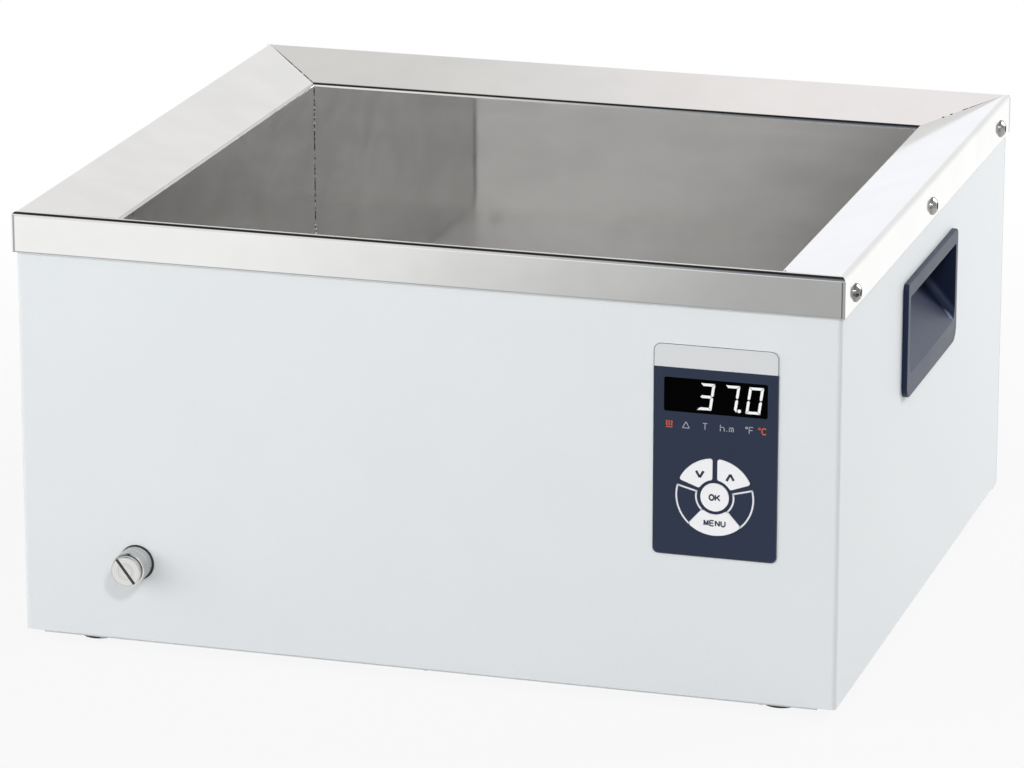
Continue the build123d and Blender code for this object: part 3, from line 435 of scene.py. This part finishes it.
# The display's digits: each bar's corners from the digit's lower left, before the lean
digit_low, digit_width, digit_height, bar_width, bar_gap = 157.4, 7.5, 13.9, 1.4, 0.16
lean = math.tan(math.radians(8))
digit_half = digit_height / 2
tip_left, tip_right = bar_width + bar_gap, digit_width - bar_width - bar_gap
top_bar = [(bar_gap, digit_height), (digit_width - bar_gap, digit_height),
           (tip_right, digit_height - bar_width), (tip_left, digit_height - bar_width)]
right_bar = [(digit_width, digit_height - bar_gap), (digit_width, digit_half + bar_gap + 0.5),
             (digit_width - bar_width / 2, digit_half + bar_gap),
             (digit_width - bar_width, digit_half + bar_width / 2 + bar_gap),
             (digit_width - bar_width, digit_height - bar_width - bar_gap)]
cross_bar = [(bar_width / 2 + bar_gap, digit_half),
             (tip_left, digit_half + bar_width / 2), (tip_right, digit_half + bar_width / 2),
             (digit_width - bar_width / 2 - bar_gap, digit_half),
             (tip_right, digit_half - bar_width / 2), (tip_left, digit_half - bar_width / 2)]
bars = {
    "a": top_bar,
    "b": right_bar,
    "c": [(u, digit_height - v) for u, v in right_bar],
    "d": [(u, digit_height - v) for u, v in top_bar],
    "e": [(digit_width - u, digit_height - v) for u, v in right_bar],
    "f": [(digit_width - u, v) for u, v in right_bar],
    "g": cross_bar,
}
bm = bmesh.new()
for left, lit_bars in ((143.6, "abcdg"), (156.3, "abc"), (168.4, "abcdef")):
    for name in lit_bars:
        outline(bm, [(left + u + v * lean, digit_low + v) for u, v in bars[name]], foil_print_y)
arc(bm, (165.3, 158.4), 0.01, 0.95, 0, 360, foil_print_y)
piece("display_digits", bm, "bath", white_print)

# The row of signs under the display: a heated surface, a triangle, and plain letters
row_low, row_height, row_weight = 147.3, 3.3, 0.36
bm = bmesh.new()
bar(bm, (127.9, row_low), (131.3, row_low), 0.5, foil_print_y)
for x in (128.3, 129.6, 130.9):
    for z, way in ((148.1, -1), (149.0, 1), (149.9, -1)):
        bar(bm, (x - 0.25 * way, z - 0.1), (x + 0.25 * way, z + 0.8), 0.6, foil_print_y)
write(bm, "o", 174.6, row_low, 1.9, row_height, row_weight, 0, foil_print_y)
write(bm, "C", 176.8, row_low, 2.5, row_height, 0.5, 0, foil_print_y)
piece("orange_signs", bm, "bath", orange_print)
bm = bmesh.new()
corners = [Vector((136.4, 147.4)), Vector((140.0, 147.4)), Vector((138.2, 150.6))]
for a, b in zip(corners, corners[1:] + corners[:1]):
    bar(bm, a, b, row_weight, foil_print_y, point=row_weight / 2)
for text, left, width, pitch in (("T", 146.8, 2.3, 3.0), ("h.m", 155.8, 2.0, 2.3), ("oF", 168.0, 2.0, 2.5)):
    write(bm, text, left, row_low, width, row_height, row_weight, pitch, foil_print_y)
piece("grey_signs", bm, "bath", icon_print)

# A fine dark line round the foil's edge: painted shade along its raised edge
edge_width = 0.3
step_in = Vector((1, 1))
outer_low, outer_high = foil_low + step_in * edge_width / 2, foil_high - step_in * edge_width / 2
inner_low, inner_high = foil_low + step_in * foil_round, foil_high - step_in * foil_round
bm = bmesh.new()
for z in (outer_high.y, outer_low.y):
    bar(bm, (inner_low.x, z), (inner_high.x, z), edge_width, foil_print_y)
for x in (outer_low.x, outer_high.x):
    bar(bm, (x, inner_low.y), (x, inner_high.y), edge_width, foil_print_y)
for x, z, start in (
    (inner_high.x, inner_high.y, 0), (inner_low.x, inner_high.y, 90),
    (inner_low.x, inner_low.y, 180), (inner_high.x, inner_low.y, 270),
):
    arc(bm, (x, z), foil_round - edge_width, foil_round, start, start + 90, foil_print_y, steps=8)
piece("foil_edge_painted_shade", bm, "bath", edge_shade_paint)

# Lined sectors left and right of the keys, joined with the lower key
sector_line, sector_inner, sector_outer = 0.9, 9.2, 20.2
bm = bmesh.new()
for start, end in ((165.5, 228.5), (14.5, -48.5)):
    arc(bm, keys_middle, sector_outer - sector_line, sector_outer, start, end, foil_print_y)
    arc(bm, keys_middle, sector_inner, sector_inner + sector_line, start, end, foil_print_y)
    for angle in (start, end):
        way = Vector((math.cos(math.radians(angle)), math.sin(math.radians(angle))))
        ends = [keys_middle + way * reach for reach in (sector_inner + 0.1, sector_outer - 0.2)]
        bar(bm, *ends, sector_line, foil_print_y)
piece("key_ring_lines", bm, "bath", grey_print)

# Arrows and words on the keys, placed from the middle of their ring
for name, body, marks in (
    ("down_mark", "key_down", ((-9.6, 13.1), (-7.7, 9.8), (-5.8, 13.2))),
    ("up_mark", "key_up", ((6.0, 9.1), (7.9, 12.6), (9.7, 9.5))),
):
    bm = bmesh.new()
    places = [keys_middle + Vector(mark) for mark in marks]
    for a, b in zip(places, places[1:]):
        bar(bm, a, b, 1.25, key_print_y)
    piece(name, bm, body, navy_print)
for name, body, word, (left, low), width, height, weight, pitch in (
    ("ok_word", "key_ok", "OK", (-2.7, -1.6), 2.3, 2.9, 0.78, 3.1),
    ("menu_word", "key_menu", "MENU", (-5.2, -14.9), 2.0, 2.7, 0.72, 2.9),
):
    bm = bmesh.new()
    write(bm, word, keys_middle.x + left, keys_middle.y + low, width, height, weight, pitch, key_print_y)
    piece(name, bm, body, navy_print)

# Welded corners of the bath: beads along the mitres and down the corners, and the sheared lower edges

# The rim's section at a mitre as (inwards, z), from the skirt's foot over the deck to the inner edge
mitre = [(0.0, 210.2), (0.0, 228.7), (0.73, 230.47), (2.5, 230.9), (3.17, 230.85),
         (22.17, 225.81), (41.17, 220.51), (42.5, 219.6), (43.0, 218.1)]


def bead(bm, points, radius, facing):
    """A round bead through the points, its ring square to one direction all along."""
    turn = Vector(facing).to_track_quat("Z", "Y").to_matrix().to_4x4()
    ring = bmesh.ops.create_circle(
        bm, segments=8, radius=radius, cap_ends=True, matrix=Matrix.Translation(points[0]) @ turn
    )
    end = ring["verts"][0].link_faces[0]
    for a, b in zip(points, points[1:]):
        grown = bmesh.ops.extrude_face_region(bm, geom=[end])["geom"]
        end = next(part for part in grown if isinstance(part, bmesh.types.BMFace))
        bmesh.ops.translate(bm, vec=Vector(b) - Vector(a), verts=end.verts)


def upright_bead(bm, x, y, length, radius):
    """A bead that stands on the skirt's lower edge."""
    foot = Vector((x, y, skirt_low))
    bead(bm, [foot, foot + Vector((0, 0, length))], radius, (0, 0, 1))


front_sink, bead_radius, dressed_radius, front_seam_radius = 0.25, 0.3, 0.22, 0.8
bm = bmesh.new()
inner_bm = bmesh.new()
for side, edge, inward in (
    (-1, rim_front, 1), (1, rim_front, 1), (-1, rim_rear, -1), (1, rim_rear, -1),
):
    # The front mitres are dressed almost flush
    sunk = Vector((0, 0, front_sink if edge < 0 else 0))
    corner = [Vector((side * (rim_x - u), edge + inward * u, z)) - sunk for u, z in mitre]
    diagonal = (-side, inward, 0)
    if side < 0:
        bead(bm, corner[1:], bead_radius, diagonal)
    else:
        # On the right the weld is ground off over half its length, down to a few nubs
        bead(bm, corner[1:6], dressed_radius, diagonal)
        nub_radius, nub_starts = (bead_radius, (0.25, 0.45)) if edge > 0 else (0.5, (0.93,))
        for start in nub_starts:
            nub = [corner[5].lerp(corner[6], share) + sunk for share in (start, start + 0.05)]
            bead(bm, nub, nub_radius, diagonal)
    seam_radius = bead_radius if edge > 0 else front_seam_radius
    bead(inner_bm, [corner[-1], Vector((*corner[-1].xy, bath_low))], seam_radius, (0, 0, -1))
piece("mitre_welds", bm, "bath", weld_metal("mitre_weld", 0.62))
piece("wall_welds", inner_bm, "bath", weld_metal("wall_weld", 0.54))

# Spatter on the seam in the rear left corner, as (height, radius): small beads, painted white as glints
spatter_inset = 43.2
bm = bmesh.new()
for z, radius in (
    (206.0, 0.4), (203.6, 0.3), (200.5, 0.35), (197.0, 0.4), (193.0, 0.3),
    (137.0, 0.35), (134.8, 0.5), (132.2, 0.4), (127.5, 0.3),
):
    drop = Matrix.Translation((spatter_inset - rim_x, rim_rear - spatter_inset, z))
    bmesh.ops.create_icosphere(bm, subdivisions=2, radius=radius, matrix=drop)
piece("weld_spatter", bm, "bath", grained("spatter_painted_glint", "F0F0F0", "FFFFFF", 0.5, 0.3))

# The other three corners of the skirt, closed and dressed round
corner_inset, corner_length, corner_radius = 0.8, 19.4, 1.2
bm = bmesh.new()
for side, edge, inward in ((-1, rim_front, 1), (-1, rim_rear, -1), (1, rim_rear, -1)):
    x, y = side * (rim_x - corner_inset), edge + inward * corner_inset
    upright_bead(bm, x, y, corner_length, corner_radius)
piece("skirt_corners", bm, "bath", finishes["rim_stainless"])

# Sheared edges, bare and finely torn: along the skirt's foot, and up the lap at the front right corner
shear_inset, shear_z, shear_radius = 0.25, 210.4, 0.38
bm = bmesh.new()
for edge, inward in ((rim_front, 1), (rim_rear, -1)):
    ends = [Vector((side * rim_x, edge + inward * shear_inset, shear_z)) for side in (-1, 1)]
    bead(bm, ends, shear_radius, (1, 0, 0))
upright_bead(bm, rim_x - 0.9, rim_front + 0.55, 19.0, 0.6)
sheared = grained("sheared_edge", "A0A2A3", "B0B2B3", 0.4, 0.35, metallic=1.0)
piece("skirt_edges", bm, "bath", sheared)

# The lap's two seams as dark beads, as (inset from the side, inset from the front, radius): painted shade of
# the gaps between its sheets
seam_length = 18.6
bm = bmesh.new()
for side_inset, front_inset, radius in ((1.5, 0.2, 0.35), (0.25, 0.35, 0.33)):
    upright_bead(bm, rim_x - side_inset, rim_front + front_inset, seam_length, radius)
piece("lap_seams", bm, "bath", grained("lap_seam_painted_shade", "3C3D3E", "4C4D4E", 0.4, 0.4))

# Drain: painted shade in the plug's slot, its squeezed seal, and a crescent of painted shade where the sleeve
# meets the wall


def round_ring(name, profile, body, finish, centre):
    """A closed ring spun about an axis along Y from an (out, y) outline."""
    bm = bmesh.new()
    corners = [bm.verts.new((centre[0] + out, y, centre[1])) for out, y in profile]
    edges = [bm.edges.new((a, b)) for a, b in zip(corners, corners[1:] + corners[:1])]
    bmesh.ops.spin(
        bm, geom=corners + edges, cent=(centre[0], 0, centre[1]), axis=(0, 1, 0), angle=math.tau, steps=64,
        use_merge=True,
    )
    bmesh.ops.remove_doubles(bm, verts=bm.verts, dist=0.001)
    made = piece(name, bm, body, finish)
    made.data.polygons.foreach_set("use_smooth", [True] * len(made.data.polygons))


slot_angle, slot_half_length, slot_width, slot_depth = math.radians(127), 7.75, 1.6, 0.2
drain = Vector((drain_x, drain_z))
slot_way = Vector((math.cos(slot_angle), math.sin(slot_angle))) * slot_half_length
# A dark strip just under the head's face, along the slot: painted shade in the slot
bm = bmesh.new()
bar(bm, drain - slot_way, drain + slot_way, slot_width, plug_head_y + slot_depth)
slot_painted_shade = grained("slot_painted_shade", "23221F", "2E2D29", 0.6, 0.6)
piece("plug_slot_painted_shade", bm, "drain_plug", slot_painted_shade)
lip_inner, lip_edge, lip_outer = 7.0, 7.7, 7.95
lip_front, lip_back, lip_swell = -204.99, -204.19, (-204.8, -204.4)
round_ring(
    "seal_lip",
    [(lip_inner, lip_front), (lip_inner, lip_back), (lip_edge, lip_back),
     (lip_outer, lip_swell[1]), (lip_outer, lip_swell[0]), (lip_edge, lip_front)],
    "plug_seal", finishes["black_rubber"], drain,
)
# A black ring set off centre towards the lower right, so that only a crescent shows: painted shade round the
# sleeve's foot
shade_inner, shade_outer, shade_y, shade_shift = 7.5, 9.0, wall_y - 0.4, Vector((0.4, -0.5))
round_ring(
    "sleeve_painted_shade",
    [(shade_inner, wall_y), (shade_inner, shade_y), (shade_outer, shade_y), (shade_outer, wall_y)],
    "bath", finishes["black_rubber"], drain + shade_shift,
)

# Camera

yaw, pitch = math.radians(16.73), math.radians(16.69)
camera_data = bpy.data.cameras.new("camera")
camera_data.lens = 189.4
camera_data.clip_end = 100.0
camera = bpy.data.objects.new("camera", camera_data)
camera.location = (0.790, -2.659, 0.935)
camera.rotation_euler = (math.pi / 2 - pitch, 0.0, yaw)
scene.collection.objects.link(camera)
scene.camera = camera
scene.view_settings.view_transform = "Standard"
# Inside the bath a look meets sheet metal up to seven times before it leaves
scene.cycles.glossy_bounces = 10

# A studio for the steel to mirror: pale at the horizon, with a dark strip overhead. What isn't mirrored gets
# plain light, and the camera sees white. A ramp's places run from the horizon behind (0) over the top (0.5)
# to the one in front (1).

world = bpy.data.worlds.new("studio")
scene.world = world
world.use_nodes = True
air = world.node_tree
air.nodes.clear()
path = add(air, "ShaderNodeLightPath")
look = add(air, "ShaderNodeSeparateXYZ", {"Vector": add(air, "ShaderNodeTexCoord").outputs["Generated"]})
swing = add(air, "ShaderNodeMath", {0: look.outputs["Z"], 1: look.outputs["Y"]}, operation="ARCTAN2")
over = add(air, "ShaderNodeMath", {0: swing.outputs[0], 1: math.pi}, operation="DIVIDE")
horizon = [(0.0, "F6F7FA"), (0.05, "EDEEF2"), (0.13, "E4E3E2")]
dark_strip = [(0.38, 0.02), (0.69, 0.02)]
left_sky, right_sky, open_sky = (
    add(air, "ShaderNodeValToRGB", {"Fac": over.outputs[0]}, stops=stops)
    for stops in (
        [*horizon, (0.29, "D2D1CF"), *dark_strip, (0.75, 0.8), (1.0, 0.8)],
        [*horizon, (0.22, "EEEBEB"), (0.3, "F3EEEE"), *dark_strip, (0.76, "50565E"), (1.0, "8A8F96")],
        [(0.0, 0.92), (0.05, 0.84), (0.13, 0.78), (0.27, 0.66),
         (0.4, 0.5), (0.6, 0.5), (0.8, 0.8), (1.0, 0.8)],
    )
)
rightwards = add(
    air,
    "ShaderNodeMapRange",
    {"Value": look.outputs["X"], "From Min": -0.31, "From Max": -0.22},
    interpolation_type="SMOOTHSTEP",
)
strip_sky = add(
    air,
    "ShaderNodeMix",
    {0: rightwards.outputs[0], 6: left_sky.outputs[0], 7: right_sky.outputs[0]},
    data_type="RGBA",
)
strip_x = -0.27
off_strip = add(air, "ShaderNodeMath", {0: look.outputs["X"], 1: -strip_x})
off_size = add(air, "ShaderNodeMath", {0: off_strip.outputs[0]}, operation="ABSOLUTE")
in_strip = add(
    air,
    "ShaderNodeMapRange",
    {"Value": off_size.outputs[0], "From Min": 0.11, "From Max": 0.19, "To Min": 1.0, "To Max": 0.0},
    interpolation_type="SMOOTHSTEP",
)
sky = add(
    air,
    "ShaderNodeMix",
    {0: in_strip.outputs[0], 6: open_sky.outputs[0], 7: strip_sky.outputs[2]},
    data_type="RGBA",
)
pure_white = linear("FFFFFF")
plain, white, studio = (
    add(air, "ShaderNodeBackground", {"Color": colour, "Strength": strength})
    for colour, strength in ((pure_white, 0.58), (pure_white, 1.0), (sky.outputs[2], 1.3))
)
clear = add(
    air,
    "ShaderNodeMath",
    {0: path.outputs["Is Camera Ray"], 1: path.outputs["Is Transmission Ray"]},
    operation="MAXIMUM",
)
seen = add(air, "ShaderNodeMixShader", {0: clear.outputs[0], 1: plain.outputs[0], 2: white.outputs[0]})
both = add(
    air, "ShaderNodeMixShader", {0: path.outputs["Is Glossy Ray"], 1: seen.outputs[0], 2: studio.outputs[0]}
)
add(air, "ShaderNodeOutputWorld", {"Surface": both.outputs[0]})

# Lamps, all turned to the bath's middle: behind it at the right, in front of it, and a broad one at the left
bath_middle = Vector((0, 0, 0.1))
for name, power, width, length, place in (
    ("key", 11.5, 0.5, 0.5, (1.1, 0.9, 0.95)),
    ("front", 16.6, 0.25, 0.25, (0.97, -2.07, 1.63)),
    ("fill", 13.4, 2.4, 1.0, (-1.15, -1.1, 0.5)),
):
    lamp = bpy.data.lights.new(name, "AREA")
    lamp.energy, lamp.shape, lamp.size, lamp.size_y = power, "RECTANGLE", width, length
    holder = bpy.data.objects.new(name, lamp)
    holder.location = place
    holder.rotation_euler = (bath_middle - holder.location).to_track_quat("-Z", "Y").to_euler()
    holder.visible_glossy = name != "fill"
    scene.collection.objects.link(holder)

# White paper floor, with its places in metres from the bath's middle: the camera sees it white but for the
# shadow, and the steel sees a grey part in front

floor_mesh = bpy.data.meshes.new("floor")
bm = bmesh.new()
bmesh.ops.create_grid(bm, x_segments=1, y_segments=1, size=6.0)
bm.to_mesh(floor_mesh)
bm.free()
floor = bpy.data.objects.new("floor", floor_mesh)
scene.collection.objects.link(floor)
paper = bpy.data.materials.new("white_paper")
paper.use_nodes = True
tree = paper.node_tree
tree.nodes.clear()
path = add(tree, "ShaderNodeLightPath")
place = add(tree, "ShaderNodeTexCoord").outputs["Object"]
spot = add(tree, "ShaderNodeSeparateXYZ", {"Vector": place})
right, front, beside = (
    add(
        tree,
        "ShaderNodeMapRange",
        {"Value": spot.outputs[axis], "From Min": start, "From Max": end},
        interpolation_type="SMOOTHSTEP",
    )
    for axis, start, end in (("X", -0.43, 0.06), ("Y", -0.35, -0.7), ("X", 0.45, 0.6))
)
# Mirrored by the front skirt, the paper falls from white at the left to grey at the right
dim = add(tree, "ShaderNodeMath", {0: right.outputs[0], 1: front.outputs[0]}, operation="MULTIPLY")
front_level = add(tree, "ShaderNodeMapRange", {"Value": dim.outputs[0], "To Min": 1.22, "To Max": 0.52})
# Metal that looks to the right mirrors a dark patch beside the bath
near = add(tree, "ShaderNodeMath", {0: spot.outputs["Y"], 1: -0.5, 2: 0.35}, operation="COMPARE")
dark = add(tree, "ShaderNodeMath", {0: beside.outputs[0], 1: near.outputs[0]}, operation="MULTIPLY")
level = add(tree, "ShaderNodeMix", {0: dark.outputs[0], 2: front_level.outputs[0], 3: 0.12})
lit = add(tree, "ShaderNodeBsdfDiffuse", {"Color": linear("B4B4B4")})
glow, sheen = (
    add(tree, "ShaderNodeEmission", {"Color": pure_white, "Strength": strength})
    for strength in (1.0, level.outputs[0])
)
# Near the bath the camera sees a tenth of the paper's own shading, which holds the shadow
far = add(tree, "ShaderNodeVectorMath", {0: place}, operation="LENGTH")
white_share = add(
    tree,
    "ShaderNodeMapRange",
    {"Value": far.outputs["Value"], "From Min": 0.3, "From Max": 0.9, "To Min": 0.9, "To Max": 1.0},
    interpolation_type="SMOOTHSTEP",
)
share = add(
    tree,
    "ShaderNodeMath",
    {0: path.outputs["Is Camera Ray"], 1: white_share.outputs[0]},
    operation="MULTIPLY",
)
mixed = add(tree, "ShaderNodeMixShader", {0: share.outputs[0], 1: lit.outputs[0], 2: glow.outputs[0]})
last = add(
    tree, "ShaderNodeMixShader", {0: path.outputs["Is Glossy Ray"], 1: mixed.outputs[0], 2: sheen.outputs[0]}
)
add(tree, "ShaderNodeOutputMaterial", {"Surface": last.outputs[0]})
floor_mesh.materials.append(paper)
